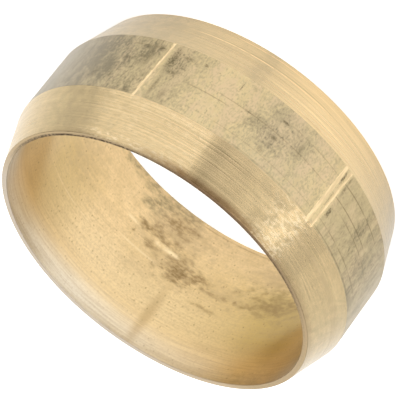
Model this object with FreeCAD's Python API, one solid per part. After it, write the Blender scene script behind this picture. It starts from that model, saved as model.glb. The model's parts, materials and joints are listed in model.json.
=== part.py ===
import FreeCAD, Part
import math
import os

# Compression olive: a turned brass ring that a nut squeezes onto a copper pipe to seal it.
# It is one piece, the same at both ends. It stands on its lower end, with its axis on +Z
# and the origin at the centre of that end. Sizes are in millimetres, angles in degrees.

# The pipe that the ring slides onto, and the play between them across the diameter.
pipe_diameter = 15.0
pipe_play = 0.10

# The section: a plain band round the middle, and a straight bevel from it down to each end.
ring_length = 7.40
band_width = 3.16
band_wall = 0.95
rim_wall = 0.25

# How far each corner of the section is rounded.
band_edge_radius = 0.10
rim_edge_radius = 0.06
bore_edge_radius = 0.05

# Score marks along the drawn tube that the ring was turned from: one alone and one pair.
# Their places are angles round the ring from +X. The bevels, turned later, cut them off.
score_depth = 0.04
single_score_angle = -55.3
single_score_width = 0.28
pair_score_angle = -119.5
pair_score_width = 0.22
pair_score_pitch = 0.25

# What follows from these sizes.
bore_radius = (pipe_diameter + pipe_play) / 2
band_radius = bore_radius + band_wall
rim_radius = bore_radius + rim_wall
bevel_length = (ring_length - band_width) / 2

ring_axis = FreeCAD.Vector(0, 0, 1)
lower_end = FreeCAD.Vector(0, 0, 0)


def rounded_outline(corners):
    """Closed wire through (radius, height, rounding) corners, with an arc at each corner."""
    count = len(corners)
    places = [FreeCAD.Vector(radius, 0, height) for radius, height, _ in corners]
    arcs = []
    for index, (_, _, rounding) in enumerate(corners):
        corner = places[index]
        to_last = (places[index - 1] - corner).normalize()
        to_next = (places[(index + 1) % count] - corner).normalize()
        inward = (to_last + to_next).normalize()
        half_angle = to_last.getAngle(to_next) / 2
        setback = rounding / math.tan(half_angle)
        reach = rounding / math.sin(half_angle) - rounding
        start = corner + to_last * setback
        middle = corner + inward * reach
        end = corner + to_next * setback
        arcs.append((start, middle, end))
    edges = []
    for index, (start, middle, end) in enumerate(arcs):
        last_end = arcs[index - 1][2]
        edges.append(Part.LineSegment(last_end, start).toShape())
        edges.append(Part.Arc(start, middle, end).toShape())
    return Part.Wire(edges)


def turned_ring():
    """The ring as it leaves the lathe: its section turned once round the axis."""
    section = rounded_outline([
        (bore_radius, 0, bore_edge_radius),
        (rim_radius, 0, rim_edge_radius),
        (band_radius, bevel_length, band_edge_radius),
        (band_radius, bevel_length + band_width, band_edge_radius),
        (rim_radius, ring_length, rim_edge_radius),
        (bore_radius, ring_length, bore_edge_radius),
    ])
    return Part.Face(section).revolve(lower_end, ring_axis, 360)


def score_cutter(angle, width):
    """Round bar beside the ring that dips into the band by the score depth, over the given width."""
    bar_radius = (width ** 2 / 4 + score_depth ** 2) / (2 * score_depth)
    bar_place = FreeCAD.Vector(band_radius - score_depth + bar_radius, 0, 0)
    bar = Part.makeCylinder(bar_radius, ring_length, bar_place, ring_axis)
    bar.rotate(lower_end, ring_axis, angle)
    return bar


half_pair_turn = math.degrees(pair_score_pitch / band_radius) / 2
score_marks = [
    (single_score_angle, single_score_width),
    (pair_score_angle + half_pair_turn, pair_score_width),
    (pair_score_angle - half_pair_turn, pair_score_width),
]

olive = turned_ring().cut([score_cutter(angle, width) for angle, width in score_marks])
olive = olive.Solids[0]

os.makedirs("parts", exist_ok=True)
olive.exportStep("parts/olive.step")
print("olive valid", olive.isValid(), "volume", round(olive.Volume, 3), "faces", len(olive.Faces))
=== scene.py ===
import json
import logging
import math
from abc import ABC, abstractmethod
from dataclasses import dataclass, field
from enum import Enum
from typing import Sequence, Union

import bpy
import numpy as np
from mathutils import Matrix, Vector


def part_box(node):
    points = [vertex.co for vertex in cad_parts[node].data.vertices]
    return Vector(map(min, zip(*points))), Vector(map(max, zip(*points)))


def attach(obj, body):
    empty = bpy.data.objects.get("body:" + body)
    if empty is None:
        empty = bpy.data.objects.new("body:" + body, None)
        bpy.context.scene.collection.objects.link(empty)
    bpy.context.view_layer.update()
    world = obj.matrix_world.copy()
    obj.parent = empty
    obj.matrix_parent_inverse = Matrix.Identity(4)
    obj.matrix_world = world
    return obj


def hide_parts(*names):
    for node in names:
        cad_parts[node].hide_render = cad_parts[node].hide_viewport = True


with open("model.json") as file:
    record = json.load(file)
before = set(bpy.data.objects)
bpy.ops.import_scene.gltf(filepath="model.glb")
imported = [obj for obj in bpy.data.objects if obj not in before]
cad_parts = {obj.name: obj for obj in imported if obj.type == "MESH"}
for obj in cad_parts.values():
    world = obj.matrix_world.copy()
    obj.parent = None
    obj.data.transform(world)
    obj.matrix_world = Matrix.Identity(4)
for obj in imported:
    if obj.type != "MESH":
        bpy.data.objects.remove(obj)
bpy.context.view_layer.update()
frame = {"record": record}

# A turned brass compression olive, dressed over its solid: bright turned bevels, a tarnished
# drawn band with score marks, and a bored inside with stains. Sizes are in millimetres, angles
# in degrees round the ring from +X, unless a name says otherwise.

log = logging.getLogger("olive")

MM = 0.001
NODE = "olive"
BODY = "root"

ZERO = (0.0, 0.0, 0.0)

# Keeps what lies across the ring's axis and drops what lies along it.
ACROSS_AXIS = (1.0, 1.0, 0.0)

# Sets the shine's long way along the axis and not round the ring, in turns.
QUARTER_TURN = 0.25

# Noise mostly keeps to this span.
NOISE_SPAN = (0.3, 0.7)

# Degrees that the score marks go round the ring in each millimetre up.
SCORE_LEAN = 0.23

Colour = tuple[float, float, float]
Point = tuple[float, float, float]
Span = tuple[float, float]
Levels = tuple[Span, ...]
Socket = bpy.types.NodeSocket
Feed = Union[Socket, float, Sequence[float]]
Tone = Union[Socket, Colour]


class Zone(Enum):
    """The surfaces of the ring, each with its own finish; the value is the material's slot on the mesh."""

    BEVEL = 0
    BAND = 1
    BORE = 2
    RIM = 3
    SCORE = 4


def place_on_ring(angle: float, height: float, radius: float) -> Point:
    """Point at an angle, height and radius, in millimetres."""
    turn = math.radians(angle)
    return radius * math.cos(turn), radius * math.sin(turn), height


# Node trees


class Board:
    """A node tree being laid out, with short calls for the nodes that the finishes use."""

    def __init__(self, tree: bpy.types.NodeTree) -> None:
        """Keeps the tree that nodes are added to."""
        self.tree = tree

    def add(self, kind: str, **settings: object) -> bpy.types.Node:
        """Adds a node and sets its properties.

        Args:
            kind: the node's type, without the leading ShaderNode.
            settings: properties of the node and their values.

        Returns:
            The new node.
        """
        node = self.tree.nodes.new("ShaderNode" + kind)
        for name, value in settings.items():
            setattr(node, name, value)
        return node

    def feed(self, socket: Socket, value: Feed) -> None:
        """Links a socket to another, or sets it to a plain value.

        Args:
            socket: the input to fill.
            value: another node's output, or a plain number or vector.
        """
        if isinstance(value, Socket):
            self.tree.links.new(value, socket)
        else:
            socket.default_value = value

    def math(self, operation: str, first: Feed, second: Feed = 0.0, third: Feed = 0.0) -> Socket:
        """Does a sum on one to three values.

        Args:
            operation: the Math node's operation.
            first: the first value.
            second: the second value.
            third: the third value, where the operation has one.

        Returns:
            The result.
        """
        node = self.add("Math", operation=operation)
        for index, value in enumerate((first, second, third)):
            self.feed(node.inputs[index], value)
        return node.outputs[0]

    def times(self, first: Feed, second: Feed) -> Socket:
        """Product of two values."""
        return self.math("MULTIPLY", first, second)

    def vector(self, operation: str, first: Feed, second: Feed = ZERO) -> bpy.types.Node:
        """Does a sum on one or two vectors.

        Args:
            operation: the Vector Math node's operation.
            first: the first vector.
            second: the second vector, where the operation has one.

        Returns:
            The node, whose outputs are Vector and Value.
        """
        node = self.add("VectorMath", operation=operation)
        self.feed(node.inputs[0], first)
        self.feed(node.inputs[1], second)
        return node

    def noise(self, vector: Feed, scale: float, detail: float, roughness: float = 0.55) -> Socket:
        """Makes cloudy noise.

        Args:
            vector: the place.
            scale: how fine the noise is.
            detail: octaves of finer noise.
            roughness: weight of the finer octaves.

        Returns:
            A value from 0 to 1, mostly about a half.
        """
        node = self.add("TexNoise")
        inputs = {"Vector": vector, "Scale": scale, "Detail": detail, "Roughness": roughness}
        for name, value in inputs.items():
            self.feed(node.inputs[name], value)
        return node.outputs["Fac"]

    def ramp(self, value: Feed, start: Feed, end: Feed, low: Feed = 0.0, high: Feed = 1.0) -> Socket:
        """Makes a smooth step.

        Args:
            value: the value to go by.
            start: where the step starts.
            end: where it ends.
            low: the result up to the start.
            high: the result from the end on.

        Returns:
            The stepped value.
        """
        node = self.add("MapRange", interpolation_type="SMOOTHSTEP")
        for index, given in enumerate((value, start, end, low, high)):
            self.feed(node.inputs[index], given)
        return node.outputs["Result"]

    def between(self, level: Feed, low: Feed, high: Feed) -> Socket:
        """Smooth passage from one value to another as a level goes from 0 to 1."""
        return self.ramp(level, 0.0, 1.0, low, high)

    def blend(self, factor: Feed, first: Tone, second: Tone) -> Socket:
        """Mixes two colours.

        Args:
            factor: 0 for the first colour, 1 for the second.
            first: the first colour.
            second: the second colour.

        Returns:
            The mixed colour.
        """
        node = self.add("Mix", data_type="RGBA")
        sockets = {socket.identifier: socket for socket in node.inputs}
        self.feed(sockets["Factor_Float"], factor)
        for name, given in (("A_Color", first), ("B_Color", second)):
            self.feed(sockets[name], given if isinstance(given, Socket) else (*given, 1.0))
        return next(socket for socket in node.outputs if socket.type == "RGBA")

    def group(self, tree: bpy.types.NodeTree, **inputs: Feed) -> bpy.types.Node:
        """Places a node group.

        Args:
            tree: the group.
            inputs: what its inputs take, by name, with spaces written as underscores.

        Returns:
            The placed node.
        """
        node = self.add("Group", node_tree=tree)
        for name, value in inputs.items():
            self.feed(node.inputs[name.replace("_", " ")], value)
        return node


GroupParts = tuple[Board, dict[str, Socket], dict[str, Socket]]


class Effects:
    """The node groups that several finishes share, each built once. They work in millimetres.

    Broader tool lines have a share of the fine lines' fineness. A stain ends a little past its reach.
    A dot is full over its core, the faintest dot has a share of the strength, and a scratch sways."""

    BAND_SHARE = 0.2
    LINE_DETAIL = 2.0
    LINE_ROUGHNESS = 0.6
    STAIN_END = 1.15
    DOT_CORE = 0.35
    FAINTEST_DOT = 0.3
    HAIR_SWAY = 0.06

    def __init__(self) -> None:
        """Builds every group."""
        self.turning = self._turning()
        self.turn = self._turn()
        self.stain = self._stain()
        self.speckle = self._speckle()
        self.hairline = self._hairline()

    @staticmethod
    def _new(name: str, inputs: dict[str, Union[float, Point]], outputs: Sequence[str]) -> GroupParts:
        """Starts a group.

        Args:
            name: the group's name.
            inputs: socket names and their default values; a point makes a vector socket.
            outputs: names of the values that the group puts out.

        Returns:
            The group's board, its inner input sockets and its inner output sockets, by name.
        """
        tree = bpy.data.node_groups.new(name, "ShaderNodeTree")
        for label, value in inputs.items():
            kind = "NodeSocketFloat" if isinstance(value, float) else "NodeSocketVector"
            tree.interface.new_socket(label, in_out="INPUT", socket_type=kind).default_value = value
        for label in outputs:
            tree.interface.new_socket(label, in_out="OUTPUT", socket_type="NodeSocketFloat")
        entry = tree.nodes.new("NodeGroupInput")
        leave = tree.nodes.new("NodeGroupOutput")
        into = {socket.name: socket for socket in entry.outputs}
        return Board(tree), into, {socket.name: socket for socket in leave.inputs}

    def _turning(self) -> bpy.types.NodeTree:
        """Lines that a lathe tool leaves round the ring, fine ones and broader ones.

        Returns:
            The group.
        """
        inputs = {"Vector": ZERO, "Along": 0.08, "Across": 9.0}
        board, into, out = self._new("turning_lines", inputs, ("Lines", "Bands"))
        for label, share in (("Lines", 1.0), ("Bands", self.BAND_SHARE)):
            along = board.times(into["Along"], share)
            across = board.times(into["Across"], share)
            scale = board.add("CombineXYZ")
            for index, value in enumerate((along, along, across)):
                board.feed(scale.inputs[index], value)
            stretched = board.vector("MULTIPLY", into["Vector"], scale.outputs[0]).outputs[0]
            board.feed(out[label], board.noise(stretched, 1.0, self.LINE_DETAIL, self.LINE_ROUGHNESS))
        return board.tree

    def _turn(self) -> bpy.types.NodeTree:
        """How far round the ring a place is: 0 at -180 degrees from +X, 1 at 180.

        Returns:
            The group.
        """
        board, into, out = self._new("ring_turn", {"Vector": ZERO}, ("Turn",))
        split = board.add("SeparateXYZ")
        board.feed(split.inputs[0], into["Vector"])
        angle = board.math("ARCTAN2", split.outputs["Y"], split.outputs["X"])
        board.feed(out["Turn"], board.math("MULTIPLY_ADD", angle, 0.5 / math.pi, 0.5))
        return board.tree

    def _stain(self) -> bpy.types.NodeTree:
        """One patch about a centre, with its own reach round the ring and along it; Grain makes its edge
        ragged and Soft is the share of its reach over which it fades.

        Returns:
            The group.
        """
        inputs = {"Vector": ZERO, "Centre": ZERO, "Reach": (1.0, 1.0, 1.0)}
        inputs |= {"Grain": 0.5, "Ragged": 2.0, "Soft": 0.9}
        board, into, out = self._new("stain_patch", inputs, ("Mask",))
        away = board.vector("SUBTRACT", into["Vector"], into["Centre"]).outputs[0]
        share = board.vector("DIVIDE", away, into["Reach"]).outputs[0]
        length = board.vector("LENGTH", share).outputs["Value"]
        push = board.math("SUBTRACT", into["Grain"], 0.5)
        edge = board.math("MULTIPLY_ADD", push, into["Ragged"], length)
        start = board.math("SUBTRACT", 1.0, into["Soft"])
        board.feed(out["Mask"], board.ramp(edge, start, self.STAIN_END, 1.0, 0.0))
        return board.tree

    def _speckle(self) -> bpy.types.NodeTree:
        """Small dots scattered over an unrolled surface; Share is how many places hold one.

        Returns:
            The group.
        """
        inputs = {"Vector": ZERO, "Scale": 3.0, "Size": 0.2, "Share": 0.5}
        board, into, out = self._new("speckle", inputs, ("Mask",))
        cells = board.add("TexVoronoi", voronoi_dimensions="2D")
        cells.inputs["Randomness"].default_value = 1.0
        board.feed(cells.inputs["Vector"], into["Vector"])
        board.feed(cells.inputs["Scale"], into["Scale"])
        core = board.times(into["Size"], self.DOT_CORE)
        dot = board.ramp(cells.outputs["Distance"], core, into["Size"], 1.0, 0.0)
        pick = board.add("SeparateColor")
        board.feed(pick.inputs[0], cells.outputs["Color"])
        kept = board.math("LESS_THAN", pick.outputs[0], into["Share"])
        rest = 1.0 - self.FAINTEST_DOT
        strength = board.math("MULTIPLY_ADD", pick.outputs[1], rest, self.FAINTEST_DOT)
        board.feed(out["Mask"], board.times(board.times(dot, kept), strength))
        return board.tree

    def _hairline(self) -> bpy.types.NodeTree:
        """One thin scratch round the ring at the height of its centre, fading at both ends.

        Returns:
            The group.
        """
        inputs = {"Vector": ZERO, "Centre": ZERO, "Half Length": 2.0, "Width": 0.05}
        board, into, out = self._new("hairline", inputs, ("Mask",))
        away = board.vector("SUBTRACT", into["Vector"], into["Centre"]).outputs[0]
        split = board.add("SeparateXYZ")
        board.feed(split.inputs[0], away)
        sway = board.math("SUBTRACT", board.noise(into["Vector"], 0.5, 1.0), 0.5)
        off = board.math("ABSOLUTE", board.math("MULTIPLY_ADD", sway, self.HAIR_SWAY, split.outputs["Z"]))
        thin = board.ramp(off, 0.0, into["Width"], 1.0, 0.0)
        level = board.vector("MULTIPLY", away, ACROSS_AXIS).outputs[0]
        length = board.vector("LENGTH", level).outputs["Value"]
        fade = board.times(into["Half Length"], 0.5)
        ends = board.ramp(length, fade, into["Half Length"], 1.0, 0.0)
        broken = board.ramp(board.noise(into["Vector"], 2.0, 3.0), 0.30, 0.52, 0.25, 1.0)
        board.feed(out["Mask"], board.times(board.times(thin, ends), broken))
        return board.tree


# Finishes


@dataclass(frozen=True)
class Patch:
    """A stain's place and size: angle, height, reach round the ring, reach along it, strength."""

    angle: float
    height: float
    round_reach: float
    long_reach: float
    strength: float


@dataclass(frozen=True)
class Scratch:
    """A thin line round the ring: angle of its middle, height, half its length, strength, width."""

    angle: float
    height: float
    half_length: float
    strength: float
    width: float = 0.05


@dataclass(frozen=True)
class Grain:
    """A cloudy noise over the ring: its fineness, alike all ways or by axis, its octaves and their weight."""

    fineness: Union[float, Point]
    detail: float
    roughness: float = 0.55


class MetalBoard(Board):
    """The board of one brass material, with its shader and the place on the ring at hand."""

    def __init__(self, name: str, effects: Effects, radius: float, anisotropy: float) -> None:
        """Starts the material, with its grain round the ring.

        Args:
            name: the material's name.
            effects: the shared groups.
            radius: radius of the surface, in millimetres.
            anisotropy: how much more the grain scatters light along the ring's axis than round it.
        """
        self.material = bpy.data.materials.new(name)
        self.material.use_nodes = True
        super().__init__(self.material.node_tree)
        self.effects = effects
        self.radius = radius
        self.colour: Tone = ZERO
        self.shader = self.tree.nodes["Principled BSDF"]
        self.shader.inputs["Metallic"].default_value = 1.0
        self.shader.inputs["Anisotropic"].default_value = anisotropy
        self.shader.inputs["Anisotropic Rotation"].default_value = QUARTER_TURN
        tangent = self.add("Tangent", direction_type="RADIAL", axis="Z")
        self.feed(self.shader.inputs["Tangent"], tangent.outputs[0])
        place = self.vector("SCALE", self.add("TexCoord").outputs["Object"])
        place.inputs["Scale"].default_value = 1.0 / MM
        self.place = place.outputs[0]
        split = self.add("SeparateXYZ")
        self.feed(split.inputs[0], self.place)
        self.height = split.outputs["Z"]
        self.turn = self.group(effects.turn, Vector=self.place).outputs["Turn"]
        flat = self.add("CombineXYZ")
        self.feed(flat.inputs["X"], self.times(self.turn, 2.0 * math.pi * radius))
        self.feed(flat.inputs["Y"], self.height)
        self.flat = flat.outputs[0]

    def levels(self, stops: Levels, push: Feed = 0.0) -> Socket:
        """Makes a level that rises and falls round the ring.

        Args:
            stops: angles in rising order, each with its level from 0 to 1.
            push: how far the place is moved first, in turns.

        Returns:
            The level at each place.
        """
        node = self.add("ValToRGB")
        self.feed(node.inputs[0], self.math("ADD", self.turn, push))
        places = [(angle + 180.0) / 360.0 for angle, _ in stops]
        elements = node.color_ramp.elements
        elements[0].position, elements[1].position = places[0], places[-1]
        for place in places[1:-1]:
            elements.new(place)
        for element, (_, level) in zip(elements, stops):
            element.color = (level, level, level, 1.0)
        return node.outputs[0]

    def below_end(self, end: float, reach: Span, low: Feed = 0.0, high: Feed = 1.0) -> Socket:
        """Smooth step up the ring, over a reach counted down from its upper end."""
        return self.ramp(self.height, end - reach[0], end - reach[1], low, high)

    def grain(self, grain: Grain) -> Socket:
        """Makes a noise over the ring.

        Args:
            grain: the noise.

        Returns:
            A value from 0 to 1, mostly about a half.
        """
        if isinstance(grain.fineness, float):
            return self.noise(self.place, grain.fineness, grain.detail, grain.roughness)
        place = self.vector("MULTIPLY", self.place, grain.fineness).outputs[0]
        return self.noise(place, 1.0, grain.detail, grain.roughness)

    def turning(self, along: float, across: float) -> tuple[Socket, Socket]:
        """Tool lines round the ring: fine ones and broader ones."""
        node = self.group(self.effects.turning, Vector=self.place, Along=along, Across=across)
        return node.outputs["Lines"], node.outputs["Bands"]

    def dots(self, scale: float, size: float, share: float, tall: float = 1.0) -> Socket:
        """Scatters dots.

        Args:
            scale: how many there are to a millimetre.
            size: their size, as a share of the space between them.
            share: how many places hold one.
            tall: how much longer they are along the ring's axis than round it.

        Returns:
            Their mask.
        """
        place = self.vector("MULTIPLY", self.flat, (1.0, 1.0 / tall, 1.0)).outputs[0]
        node = self.group(self.effects.speckle, Vector=place, Scale=scale, Size=size, Share=share)
        return node.outputs["Mask"]

    def stains(self, patches: Sequence[Patch], grain: Feed, ragged: float, soft: float = 0.9) -> Socket:
        """Lays several stains together.

        Args:
            patches: the stains.
            grain: noise that makes their edges ragged.
            ragged: how far the edges wander.
            soft: share of a stain's reach over which it fades.

        Returns:
            Their mask, the strongest stain winning.
        """
        total: Feed = 0.0
        for patch in patches:
            node = self.group(
                self.effects.stain,
                Vector=self.place,
                Centre=place_on_ring(patch.angle, patch.height, self.radius),
                Reach=(patch.round_reach, patch.round_reach, patch.long_reach),
                Grain=grain,
                Ragged=ragged,
                Soft=soft,
            )
            total = self.math("MAXIMUM", self.times(node.outputs["Mask"], patch.strength), total)
        return total

    def scratches(self, scratches: Sequence[Scratch]) -> Socket:
        """Lays several scratches together.

        Args:
            scratches: the scratches.

        Returns:
            Their mask, the strongest scratch winning.
        """
        total: Feed = 0.0
        for scratch in scratches:
            node = self.group(
                self.effects.hairline,
                Vector=self.place,
                Centre=place_on_ring(scratch.angle, scratch.height, self.radius),
                Half_Length=scratch.half_length,
                Width=scratch.width,
            )
            total = self.math("MAXIMUM", self.times(node.outputs["Mask"], scratch.strength), total)
        return total

    def ground(self, share: Feed, first: Tone, second: Tone) -> None:
        """Starts the metal's colour as a mix of two tones."""
        self.colour = self.blend(share, first, second)

    def coat(self, share: Feed, tone: Tone) -> None:
        """Lays a tone over the metal's colour so far."""
        self.colour = self.blend(share, self.colour, tone)

    def close(self, roughness: Feed, relief: Feed, depth: float) -> None:
        """Feeds the shader with the metal's colour, roughness and relief.

        Args:
            roughness: the roughness.
            relief: height of the fine relief.
            depth: what one unit of relief stands for, in millimetres.
        """
        self.feed(self.shader.inputs["Base Color"], self.colour)
        self.feed(self.shader.inputs["Roughness"], roughness)
        bump = self.add("Bump")
        bump.inputs["Distance"].default_value = depth * MM
        self.feed(bump.inputs["Height"], relief)
        self.feed(self.shader.inputs["Normal"], bump.outputs[0])


@dataclass(frozen=True)
class BrassFinish(ABC):
    """What every brass finish has: the surface's radius, the ring's length, a lighter and a darker tone
    of the metal, and how it takes the light.

    A reach is where a change starts and ends, counted down from the ring's upper end or, at the foot, up
    from the lower one. Tool lines are given by their fineness round the ring and along it."""

    radius: float
    length: float
    name: str
    bright: Colour
    dull: Colour
    roughness: float
    anisotropy: float
    relief_depth: float

    @property
    def middle(self) -> float:
        """Height of the ring's middle."""
        return self.length / 2

    def material(self, effects: Effects) -> bpy.types.Material:
        """Builds the finish's material.

        Args:
            effects: the shared groups.

        Returns:
            The material.
        """
        metal = MetalBoard(self.name, effects, self.radius, self.anisotropy)
        self.lay(metal)
        return metal.material

    @abstractmethod
    def lay(self, metal: MetalBoard) -> None:
        """Lays out the colour, roughness and relief.

        Args:
            metal: the board of the finish's material.
        """


@dataclass(frozen=True)
class TurnedBrass(BrassFinish):
    """Bright bevel, fresh from the lathe, with a thin film in places, painted reflections and shade laid as
    film levels round the ring, painted glints, and browned along the upper rim.
    """

    name: str = "turned_brass"
    bright: Colour = (0.955, 0.725, 0.407)
    dull: Colour = (0.755, 0.566, 0.303)
    roughness: float = 0.25
    anisotropy: float = 0.86
    relief_depth: float = 0.006
    crossover: float = 0.2
    burr_reach: Span = (0.40, 0.18)
    brown_reach: Span = (0.42, 0.06)
    tool_lines: Span = (0.22, 15.0)
    mottle_grain: Grain = Grain(2.6, 5.0, 0.62)
    bump_grain: Grain = Grain((2.0, 2.0, 2.7), 2.0)
    nick_grain: Grain = Grain((4.2, 4.2, 8.0), 3.0)
    pore_grain: Grain = Grain(6.5, 3.0, 0.6)
    # Film tones, laid partly as real film and partly as painted reflections and shade.
    film: Colour = (0.47, 0.365, 0.200)
    lower_film_and_painted_light_tone: Colour = (0.40, 0.322, 0.198)
    brown: Colour = (0.30, 0.185, 0.085)
    pit: Colour = (0.30, 0.215, 0.105)
    painted_glint_tone: Colour = (1.0, 0.820, 0.530)
    # Film levels round the ring: partly real film, partly painted reflections and shade, such as the sharp
    # steps near -83 and -43 degrees.
    upper_film_and_painted_light: Levels = (
        (-180.0, 0.90), (-162.0, 1.0), (-150.0, 0.80), (-140.0, 0.58), (-131.0, 0.30), (-129.0, 0.44),
        (-125.0, 0.36), (-121.0, 0.20), (-118.0, 0.26), (-112.0, 0.28), (-108.0, 0.38), (-104.0, 0.42),
        (-97.0, 0.37), (-92.0, 0.22), (-83.3, 0.25), (-82.3, 0.02), (-76.0, 0.04), (-62.0, 0.17),
        (-52.0, 0.40), (-44.5, 0.56), (-42.5, 0.80), (-33.0, 0.98), (-30.5, 0.92), (-18.0, 0.72),
        (20.0, 0.40), (90.0, 0.30), (180.0, 0.90),
    )
    lower_film_and_painted_light: Levels = (
        (-180.0, 1.0), (-160.0, 1.0), (-150.0, 0.88), (-140.0, 0.73), (-130.0, 0.58), (-120.0, 0.44),
        (-110.0, 0.38), (-100.0, 0.36), (-91.0, 0.49), (-84.5, 0.60), (-82.5, 0.76), (-79.5, 0.74),
        (-77.5, 0.63), (-68.0, 0.62), (-58.0, 0.70), (-48.0, 0.84), (-38.0, 0.86), (-25.0, 0.82),
        (-15.0, 1.0), (0.0, 0.80), (180.0, 1.0),
    )
    browning: Levels = (
        (-180.0, 0.10), (-150.0, 0.20), (-124.0, 0.30), (-112.0, 0.45), (-104.0, 0.85), (-94.0, 1.0),
        (-80.0, 0.95), (-70.0, 0.50), (-60.0, 0.10), (-30.0, 0.15), (0.0, 0.10), (180.0, 0.10),
    )
    # Unevenness of the upper bevel: bumps in its relief, and patches in its film that stand for painted
    # broken highlights.
    unevenness: Levels = (
        (-180.0, 0.04), (-124.0, 0.10), (-120.0, 0.70), (-117.0, 1.0), (-111.0, 0.80), (-107.0, 0.24),
        (-90.0, 0.10), (-83.0, 0.10), (-82.0, 0.40), (-52.0, 0.22), (-44.0, 0.06), (-30.0, 0.04),
        (180.0, 0.04),
    )
    # Where painted glints lie round the ring, standing for highlights off the dented strip.
    painted_glints: Levels = (
        (-180.0, 0.0), (-122.0, 0.0), (-119.0, 0.56), (-110.0, 0.56), (-106.0, 0.15), (-100.0, 0.0),
        (-83.0, 0.0), (-81.5, 0.25), (-64.0, 0.15), (-57.0, 0.17), (-47.0, 0.15), (-40.0, 0.0),
        (180.0, 0.0),
    )
    matting: Levels = (
        (-180.0, 1.0), (-129.0, 1.0), (-122.0, 0.35), (-119.0, 0.0), (-45.0, 0.0), (-36.0, 0.6),
        (0.0, 0.5), (180.0, 1.0),
    )
    dark_lines: tuple[Scratch, ...] = (
        Scratch(-138.0, 6.93, 1.0, 0.22, 0.06),
        Scratch(-65.0, 6.90, 0.5, 0.55, 0.05),
        Scratch(-90.0, 6.92, 2.0, 0.22, 0.05),
        Scratch(-91.0, 6.37, 2.6, 0.28, 0.05),
        Scratch(-90.0, 5.87, 2.4, 0.28, 0.05),
        Scratch(-89.0, 5.71, 2.2, 0.30, 0.06),
        Scratch(-88.0, 0.71, 4.2, 0.32, 0.05),
        Scratch(-102.0, 1.92, 0.6, 0.30, 0.07),
    )
    light_lines: tuple[Scratch, ...] = (
        Scratch(-84.0, 0.79, 4.6, 0.60, 0.05),
        Scratch(-82.0, 0.19, 2.8, 0.45, 0.05),
        Scratch(-100.0, 1.48, 2.6, 0.35, 0.06),
        Scratch(-76.0, 6.33, 1.1, 0.60, 0.06),
        Scratch(-54.0, 7.24, 1.2, 0.70, 0.07),
    )
    specks: tuple[Patch, ...] = (
        Patch(-39.3, 6.17, 0.06, 0.06, 0.8),
        Patch(-42.0, 5.90, 0.10, 0.05, 0.4),
        Patch(-65.0, 5.43, 0.04, 0.06, 0.6),
        Patch(-117.0, 6.89, 0.16, 0.07, 0.4),
        Patch(-153.5, 5.85, 0.08, 0.05, 0.5),
        Patch(-142.0, 7.08, 0.26, 0.09, 0.34),
        Patch(-152.0, 7.27, 0.34, 0.12, 0.40),
        Patch(-63.0, 1.30, 0.10, 0.06, 0.4),
        Patch(-55.2, 0.82, 0.08, 0.07, 0.6),
        Patch(-118.8, 0.90, 0.04, 0.05, 0.5),
    )

    def lay(self, metal: MetalBoard) -> None:
        """Lays out tool lines, film with painted reflections and shade, painted glints, browning, scratches
        and specks.

        Args:
            metal: the board of the bevels' material.
        """
        lines, bands = metal.turning(*self.tool_lines)
        mottle, bumps = metal.grain(self.mottle_grain), metal.grain(self.bump_grain)
        nicks = metal.grain(self.nick_grain)
        low, high = self.middle - self.crossover, self.middle + self.crossover
        lower = metal.ramp(metal.height, low, high, 1.0, 0.0)
        upper = metal.math("SUBTRACT", 1.0, lower)
        matte = metal.times(metal.levels(self.matting), upper)
        sheen = metal.between(matte, 0.72, 0.47)
        fine = metal.ramp(lines, 0.34, 0.66, metal.times(matte, 0.25), sheen)
        pores = metal.ramp(metal.grain(self.pore_grain), 0.36, 0.62, metal.times(matte, -0.30), 0.0)
        cloudy = metal.ramp(mottle, *NOISE_SPAN)
        shade = metal.math("MULTIPLY_ADD", cloudy, 0.28, metal.math("ADD", fine, pores))
        metal.ground(shade, self.dull, self.bright)
        # Painted reflections and shade: the film is laid by angle, partly real film; where the bevel is
        # uneven the bumps break it into patches of painted highlight.
        tone = metal.blend(lower, self.film, self.lower_film_and_painted_light_tone)
        film = metal.between(lower, metal.levels(self.upper_film_and_painted_light), metal.levels(self.lower_film_and_painted_light))
        uneven = metal.times(metal.levels(self.unevenness), upper)
        patchy = metal.ramp(bumps, 0.36, 0.60, 0.9, -1.1)
        swing = metal.math("MULTIPLY_ADD", patchy, uneven, metal.ramp(mottle, *NOISE_SPAN, 0.90, 1.10))
        metal.coat(metal.times(film, swing), tone)
        metal.coat(metal.scratches(self.light_lines), self.bright)
        # Painted glints: bright flecks on the upper bevel, strongest near the rim, that stand for highlights.
        burrs = metal.below_end(self.length, self.burr_reach, 1.0, 4.0)
        painted_glints = metal.times(metal.ramp(nicks, 0.46, 0.64), metal.levels(self.painted_glints))
        painted_glints = metal.math("MINIMUM", metal.times(painted_glints, burrs), 0.75)
        metal.coat(metal.times(painted_glints, upper), self.painted_glint_tone)
        rim = metal.below_end(self.length, self.brown_reach)
        rim = metal.times(rim, metal.ramp(mottle, *NOISE_SPAN, 0.85, 1.1))
        metal.coat(metal.times(rim, metal.levels(self.browning)), self.brown)
        dots = metal.times(metal.dots(scale=2.2, size=0.10, share=0.35), 0.30)
        dark = metal.math("MAXIMUM", dots, metal.stains(self.specks, bumps, ragged=0.8, soft=0.5))
        dark = metal.math("MAXIMUM", dark, metal.scratches(self.dark_lines))
        metal.coat(dark, self.pit)
        rough = metal.ramp(bands, *NOISE_SPAN, self.roughness - 0.02, self.roughness + 0.03)
        waves = metal.math("MULTIPLY_ADD", nicks, 0.6, bumps)
        waves = metal.times(waves, metal.times(uneven, 2.2))
        relief = metal.math("MULTIPLY_ADD", lines, 0.40, metal.math("SUBTRACT", waves, dark))
        metal.close(rough, relief, self.relief_depth)


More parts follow.
